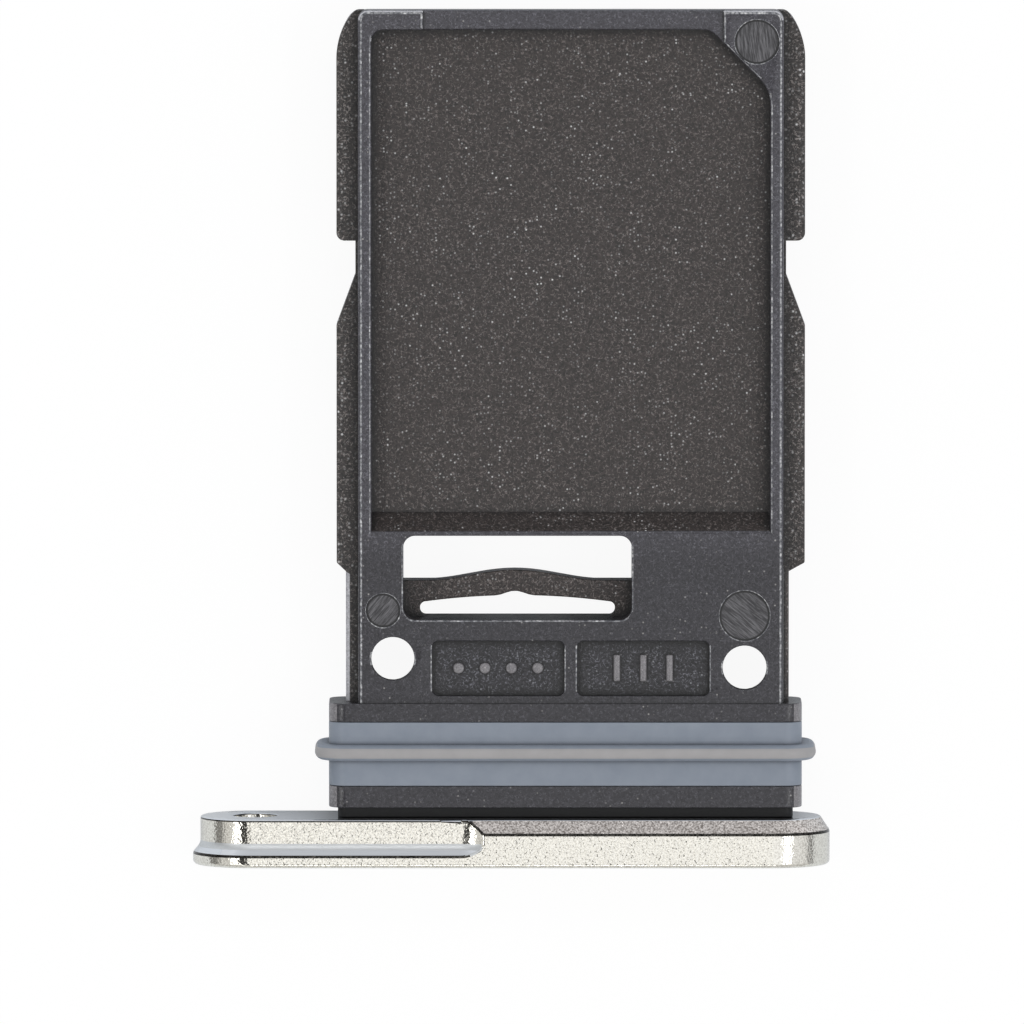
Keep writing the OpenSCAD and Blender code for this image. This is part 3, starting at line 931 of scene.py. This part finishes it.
@dataclass
class TrayBody(Moulding):
    """The moulded tray with its shoulder, and the levels that tell its faces apart.

    A level is a height over the middle of the face plate. A look is how far a face's normal
    points in one direction, from 0 to 1.

    Attributes:
        pocket_edge_mm: Rounding along the recess.
        rail_edge_mm: Rounding of the side rails.
        sign_edge_mm: Rounding of the pips and bars in the sunk fields.
        land_edge_mm: Rounding of the other edges on the land.
        mark_edge_mm: Rounding of the ejector marks' edges.
        top: Level of the land and the rims.
        recess: Level of the recess's floor.
        rail: Level of the side rails.
        spring: Level of the spring bow.
        end_step: How much lower the end rim lies between its raised corners.
        field_depth: Depth of the sunk fields.
        mark_depth: Depth of the ejector marks.
        middle_x: Middle of the tray.
        half_width: Half of the tray's width without its rails.
        pocket_half: Half of the recess's width.
        tip_y: Start of the insertion end's edge.
        corner_y: Start of the raised corners' facets with painted highlight.
        fields_y: End of the sunk fields.
        lip_y: End of the window's lower lip.
        ramp_y: Start of the recess's slope.
        strip_y: End of the strip beside the land.
        shoulder_end_y: End of the shoulder.
        neck_y: End of the neck.
        print_edge: How far the painted highlight on an ejector mark's edge reaches.
        under_rail: How far below the rails' level all edges are grained.
        shining_look: Least sideways look of the shoulder's ends that get painted highlight.
        facet_looks: Upward looks between which a raised corner's facet gets painted highlight.
        painted_highlight_look: Least upward look of an outline edge's face that gets painted
            highlight.
        lip_look: Least look of the lip's edge towards the insertion end.
        straight_look: Least share of sideways look of an edge along Y.
        sloping_look: Least upward look of a straight edge's face that gets painted highlight.
        wall_look: Faces that look upward less than this are walls.
        level_look: Faces that look upward less than this are slopes.
        near: How far a point may lie from a line or level that it counts as on.
    """

    node: str = "tray_body"
    slot: str = "tray_body"
    edge_mm: float = 0.03
    widest_mm: float = 0.09
    edge_slot: int = TrayZone.EDGE.value
    pocket_edge_mm: float = 0.055
    rail_edge_mm: float = 0.02
    sign_edge_mm: float = 0.055
    land_edge_mm: float = 0.035
    mark_edge_mm: float = 0.02
    top: float = 0.95 * MM
    recess: float = 0.40 * MM
    rail: float = 0.40 * MM
    spring: float = -0.15 * MM
    end_step: float = 0.1 * MM
    field_depth: float = 0.15 * MM
    mark_depth: float = 0.03 * MM
    middle_x: float = 1.35 * MM
    half_width: float = 4.83 * MM
    pocket_half: float = 4.52 * MM
    tip_y: float = 9.6 * MM
    corner_y: float = 9.0 * MM
    fields_y: float = -4.6 * MM
    lip_y: float = -3.9 * MM
    ramp_y: float = -2.0 * MM
    strip_y: float = -3.3 * MM
    shoulder_end_y: float = -6.02 * MM
    neck_y: float = -8.39 * MM
    print_edge: float = 0.04 * MM
    under_rail: float = 0.1 * MM
    shining_look: float = 0.55
    facet_looks: tuple[float, float] = (0.4, 0.85)
    painted_highlight_look: float = 0.85
    lip_look: float = 0.2
    straight_look: float = 0.97
    sloping_look: float = 0.5
    wall_look: float = 0.6
    level_look: float = 0.95
    near: float = 0.012 * MM

    def finishes(self) -> list[Material]:
        """Builds the plastic's finishes and the three pin prints.

        Returns:
            Their materials in the order of the zones.
        """
        plastics = (SATIN, GRAINED, COARSE, EDGE, SHEEN, DARK, SUNK)
        prints = (PinPrint(mark) for mark in MARKS)
        return [finish.material() for finish in (*plastics, *prints, PAINTED_HIGHLIGHT)]

    def rounding(self, edge: BMEdge) -> float:
        """Rounds the upper face's outline the most and the marks' edges the least.

        Edges that run on into each other get one width, because the rounding can't change it
        between two that are nearly in line.

        Args:
            edge: Outside edge of the tray.

        Returns:
            The width of its rounding in mm.
        """
        middle = (edge.verts[0].co + edge.verts[1].co) / 2
        level = middle.z - MID_Z
        aside = abs(middle.x - self.middle_x)
        if any(mark.rims(middle, self.near) for mark in MARKS):
            return self.mark_edge_mm if level > self.recess else self.edge_mm
        if middle.y < self.shoulder_end_y:
            return self.edge_mm
        if abs(level - self.top) < self.near or abs(level - self.top + self.end_step) < self.near:
            if aside > self.pocket_half + self.near or middle.y > self.tip_y:
                return self.widest_mm
            return self.pocket_edge_mm if middle.y > self.ramp_y else self.land_edge_mm
        if abs(level - self.rail) < self.near and aside > self.half_width + self.near:
            return self.widest_mm if middle.y < self.strip_y else self.rail_edge_mm
        if middle.y < self.fields_y and self.rail < level < self.top - self.end_step / 2:
            return self.sign_edge_mm
        return self.edge_mm

    def zone(self, centre: Vector, normal: Vector, rounded: bool) -> TrayZone:
        """Tells which finish a face takes from its level and from the way it looks.

        Args:
            centre: Middle of the face, in metres.
            normal: The face's outward normal.
            rounded: Whether the face belongs to a rounded edge.

        Returns:
            The face's zone.
        """
        # Painted shade: the neck takes the nearly black finish.
        if centre.y < self.neck_y:
            return TrayZone.DARK
        # Painted highlight: the shoulder's ends that look sideways are pale grey.
        if centre.y < self.shoulder_end_y:
            return TrayZone.SHEEN if abs(normal.x) > self.shining_look else TrayZone.SATIN
        return self.edge_zone(centre, normal) if rounded else self.face_zone(centre, normal)

    def edge_zone(self, centre: Vector, normal: Vector) -> TrayZone:
        """Tells which finish a rounded edge of the tray takes.

        Args:
            centre: Middle of a face of the edge, in metres.
            normal: That face's outward normal.

        Returns:
            The face's zone.
        """
        level = centre.z - MID_Z
        aside = abs(centre.x - self.middle_x)
        if level < self.rail - self.under_rail:
            return TrayZone.GRAINED
        if aside > self.half_width + self.near:
            # Painted highlight on the strip beside the land, on the left side only.
            painted_highlight_strip = centre.y < self.strip_y and centre.x < self.middle_x
            return TrayZone.PAINTED_HIGHLIGHT if painted_highlight_strip else TrayZone.GRAINED
        if centre.y < self.fields_y and level < self.top - self.end_step / 2:
            return TrayZone.SHEEN
        if aside > self.pocket_half + self.near or centre.y > self.tip_y:
            raised = level > self.top - self.end_step + self.near
            low, high = self.facet_looks
            # Painted highlight on the raised corners' middle facets.
            if centre.y > self.corner_y and raised and low < normal.z < high:
                return TrayZone.PAINTED_HIGHLIGHT
            # Painted highlight on the outline's upper edge faces; the steeper ones stay satin.
            return TrayZone.EDGE if normal.z > self.painted_highlight_look else TrayZone.SATIN
        # Painted highlight round the ejector marks.
        if any(mark.rims(centre, self.print_edge) for mark in MARKS):
            return TrayZone.EDGE
        # Painted highlight on the lip's edge faces that look towards the insertion end.
        if self.fields_y < centre.y < self.lip_y and normal.y > self.lip_look:
            return TrayZone.EDGE
        # Painted highlight on edges along Y whose faces look sideways.
        straight = abs(normal.x) > self.straight_look * math.hypot(normal.x, normal.y)
        return TrayZone.EDGE if straight and normal.z > self.sloping_look else TrayZone.SATIN

    def face_zone(self, centre: Vector, normal: Vector) -> TrayZone:
        """Tells which finish a flat face of the tray takes.

        Args:
            centre: Middle of the face, in metres.
            normal: The face's outward normal.

        Returns:
            The face's zone.
        """
        level = centre.z - MID_Z
        for mark in MARKS:
            inside = mark.reach(centre) < mark.radius * MM
            if inside and abs(level - self.top + self.mark_depth) < self.near:
                return mark.zone
        if normal.z < self.wall_look:
            return TrayZone.SATIN
        if abs(centre.x - self.middle_x) > self.half_width and level < self.top - self.near:
            return TrayZone.COARSE
        if abs(level - self.top + self.field_depth) < self.near:
            return TrayZone.SUNK
        sunk = any(abs(level - floor) < self.near for floor in (self.recess, self.spring))
        if sunk or normal.z < self.level_look:
            return TrayZone.GRAINED
        sign = centre.y < self.fields_y and level < self.top - self.end_step / 2
        return TrayZone.SHEEN if sign else TrayZone.SATIN


@dataclass
class SealRing(Moulding):
    """The silicone ring round the shoulder.

    Attributes:
        ridge_y: Middle of the ridge.
        ridge_half: Half of the ridge's width.
    """

    node: str = "seal_ring"
    slot: str = "seal_ring"
    edge_mm: float = 0.02
    widest_mm: float = 0.02
    ridge_y: float = -7.135 * MM
    ridge_half: float = 0.12 * MM

    def finishes(self) -> list[Material]:
        """Builds the silicone of the band and of the ridge."""
        return [SILICONE.material(), PAINTED_RIDGE_HIGHLIGHT.material()]

    def zone(self, centre: Vector, normal: Vector, rounded: bool) -> SealZone:
        """Paints the ridge's top paler than the band, as a painted highlight."""
        return SealZone.RIDGE if abs(centre.y - self.ridge_y) < self.ridge_half else SealZone.BAND


@dataclass(frozen=True)
class Softbox:
    """A softbox on the ring of lamps round the camera, with its angles in degrees.

    Attributes:
        name: Name of the lamp.
        azimuth: Way that it hangs from the tray, from +X towards +Y.
        lean: Angle between its direction and the mirror image of the camera.
        width: How wide it looks from the tray, across the ring.
        length: How long it looks, along the ring.
        level: Its brightness as seen, where one is white.
    """

    name: str
    azimuth: float
    lean: float
    width: float
    length: float
    level: float

    def hang(self, axis: Vector, focus: Vector, distance: float) -> None:
        """Hangs the lamp so that it looks at the tray.

        Args:
            axis: Direction of the camera's mirror image in a level face.
            focus: Point that it looks at.
            distance: How far off it hangs, in metres.
        """
        lean = Matrix.Rotation(math.radians(self.lean), 3, "Y")
        turn = Matrix.Rotation(math.radians(self.azimuth), 3, "Z")
        level_axis = Vector((0.0, 0.0, 1.0))
        way = level_axis.rotation_difference(axis) @ (turn @ (lean @ level_axis))
        bpy.ops.object.light_add(type="AREA", location=focus + way * distance)
        lamp = bpy.context.view_layer.objects.active
        lamp.name = self.name
        lamp.data.shape = "RECTANGLE"
        lamp.data.size = 2 * distance * math.tan(math.radians(self.length / 2))
        lamp.data.size_y = 2 * distance * math.tan(math.radians(self.width / 2))
        lamp.data.energy = self.level * math.pi * lamp.data.size * lamp.data.size_y
        lamp.rotation_euler = (-way).to_track_quat("-Z", "Y").to_euler()
        lamp.visible_camera = False


@dataclass(frozen=True)
class Outlook:
    """What the room shows on one side, as rings about the camera's mirror image.

    Attributes:
        tint: Colour of its light.
        rings: Angle from the mirror image in degrees and level there, with one as white.
    """

    tint: str
    rings: tuple[tuple[float, float], ...]

    def light(self, tree: NodeTree, share: NodeSocket) -> NodeSocket:
        """Builds the side's rings.

        Args:
            tree: Node tree that gets the nodes.
            share: Socket with the angle, as a share of a half turn.

        Returns:
            The socket with the light's colour.
        """
        ramp = add_node(tree, "ValToRGB", {}, {"Fac": share})
        tint = linear(self.tint)
        stops = ramp.color_ramp.elements
        stops[1].position = 1.0
        for degrees, _ in self.rings[1:-1]:
            stops.new(degrees / 180)
        for stop, (_, level) in zip(stops, self.rings):
            stop.color = (level * tint[0], level * tint[1], level * tint[2], 1.0)
        return ramp.outputs["Color"]


LEFT = Outlook("#ffffff", (
    (0, 1.12), (9, 1.12), (11, 0.04), (26, 0.04), (29, 0.7), (62, 0.7), (71, 0.25), (90, 0.25),
    (96, 0.62), (180, 0.62),
))
RIGHT = Outlook("#fbfcff", (
    (0, 1.12), (25, 1.0), (29, 0.55), (35, 0.6), (38, 0.85), (70, 0.85), (80, 0.5), (88, 0.12),
    (103, 0.12), (107, 0.66), (180, 0.62),
))
FAR = Outlook("#f9fafd", (
    (0, 1.12), (9, 1.12), (14, 0.8), (24, 0.75), (29, 0.9), (48, 0.9), (58, 0.54), (68, 0.54),
    (80, 0.82), (180, 0.66),
))
NEAR = Outlook("#ffffff", (
    (0, 1.12), (10, 1.1), (14, 0.3), (22, 0.3), (26, 0.8), (60, 0.6), (180, 0.62),
))


@dataclass
class Studio:
    """White table, softboxes, the room's light and the camera.

    Attributes:
        tilt: Angle between the camera's axis and straight down.
        mirror_tilt: Lean of the lamps' ring, about which the room's outlooks lie too.
        focus: Point that the camera looks at.
        view_width: Width that the picture shows.
        distance: How far off the camera stands.
        sensor_mm: Width of the camera's sensor.
        lamp_distance: How far off the lamps hang.
        table_size: Side of the table.
        table_gap: How far the table lies under the part.
        paper: Colour that the table shows to the part.
        shade: Colour that the camera sees, which takes the shadow.
        glow: Light of the table that the camera sees with it.
        clip: Nearest and farthest distance that the camera sees.
        lamps: The softboxes.
    """

    tilt: float = math.radians(4.44)
    mirror_tilt: float = math.radians(5.0)
    focus: Vector = field(default_factory=lambda: Vector((0.016, -1.728, 1.34)) * MM)
    view_width: float = 1024 / 43.96 * MM
    distance: float = 0.45
    sensor_mm: float = 36.0
    lamp_distance: float = 0.5
    table_size: float = 3.0
    table_gap: float = 0.002 * MM
    paper: str = "#eef1f4"
    shade: str = "#505050"
    glow: float = 0.93
    clip: tuple[float, float] = (0.01, 10.0)
    lamps: tuple[Softbox, ...] = (
        Softbox("left_softbox", 180, 33, 9, 26, 4.0),
        Softbox("right_softbox", 0, 33, 9, 26, 4.0),
        Softbox("far_softbox", 90, 34, 6, 14, 5.0),
        Softbox("near_softbox", 270, 34, 6, 14, 4.0),
    )

    def table(self) -> None:
        """Lays a white table that keeps the tray's shadow."""
        bpy.ops.object.select_all(action="DESELECT")
        bpy.ops.mesh.primitive_plane_add(size=self.table_size, location=(0, 0, -self.table_gap))
        table = bpy.context.view_layer.objects.active
        table.name = "white_table"
        made, tree = new_material("white_paper")
        seen = add_node(tree, "LightPath").outputs["Is Camera Ray"]
        paper = add_node(tree, "BsdfDiffuse", {}, {"Color": linear(self.paper)})
        shaded = add_node(tree, "BsdfDiffuse", {}, {"Color": linear(self.shade)})
        glow = add_node(
            tree, "Emission", {}, {"Color": (1, 1, 1, 1), "Strength": self.glow}
        )
        lit = add_node(tree, "AddShader", {}, {0: shaded.outputs[0], 1: glow.outputs[0]})
        both = add_node(
            tree, "MixShader", {}, {0: seen, 1: paper.outputs[0], 2: lit.outputs[0]}
        )
        add_node(tree, "OutputMaterial", {}, {"Surface": both.outputs[0]})
        table.data.materials.append(made)

    def room(self, axis: Vector) -> None:
        """Lights the room, with another outlook on each of its four sides.

        Args:
            axis: Direction of the camera's mirror image in a level face.
        """
        world = bpy.data.worlds.new("studio_room")
        bpy.context.scene.world = world
        world.use_nodes = True
        tree = world.node_tree
        tree.nodes.clear()
        way = add_node(tree, "TexCoord").outputs["Generated"]
        near = add_node(
            tree, "VectorMath", {"operation": "DOT_PRODUCT"}, {0: way, 1: axis}
        )
        angle = add_node(
            tree, "Math", {"operation": "ARCCOSINE"}, {0: near.outputs["Value"]}
        )
        share = add_node(
            tree, "Math", {"operation": "DIVIDE"}, {0: angle.outputs[0], 1: math.pi}
        ).outputs[0]
        parts = add_node(tree, "SeparateXYZ", {}, {0: way})
        light = LEFT.light(tree, share)
        for side, part, start, end in (
            (RIGHT, "X", -0.03, 0.03), (FAR, "Y", 0.3, 0.5), (NEAR, "Y", -0.3, -0.5),
        ):
            reach = add_node(
                tree, "MapRange", {},
                {"Value": parts.outputs[part], "From Min": start, "From Max": end},
            )
            light = add_node(
                tree, "Mix", {"data_type": "RGBA"},
                {"Factor": reach.outputs["Result"], 6: light, 7: side.light(tree, share)},
            ).outputs[2]
        back = add_node(tree, "Background", {}, {"Color": light, "Strength": 1.0})
        add_node(tree, "OutputWorld", {}, {"Surface": back.outputs["Background"]})

    def camera(self) -> None:
        """Sets the camera that the photograph was taken with: a long lens, leaning a little."""
        back = Vector((0.0, math.sin(self.tilt), math.cos(self.tilt)))
        bpy.ops.object.camera_add(
            location=self.focus + back * self.distance, rotation=(-self.tilt, 0.0, 0.0)
        )
        camera = bpy.context.view_layer.objects.active
        camera.data.lens = self.sensor_mm * self.distance / self.view_width
        camera.data.sensor_width = self.sensor_mm
        camera.data.clip_start, camera.data.clip_end = self.clip
        bpy.context.scene.camera = camera

    def build(self) -> None:
        """Sets up table, lights and camera."""
        axis = Vector((0.0, -math.sin(self.mirror_tilt), math.cos(self.mirror_tilt)))
        self.table()
        for lamp in self.lamps:
            lamp.hang(axis, self.focus, self.lamp_distance)
        self.room(axis)
        self.camera()
        bpy.context.scene.view_settings.view_transform = "Standard"


def main() -> None:
    """Builds the pieces in order, then the studio."""
    for part in (FacePlate(), TrayBody(), SealRing()):
        piece = part.build()
        LOG.info("%s: %d faces", piece.name, len(piece.data.polygons))
    Studio().build()


if __name__ == "__main__":
    logging.basicConfig(level=logging.INFO, format="%(name)s %(message)s")
    main()
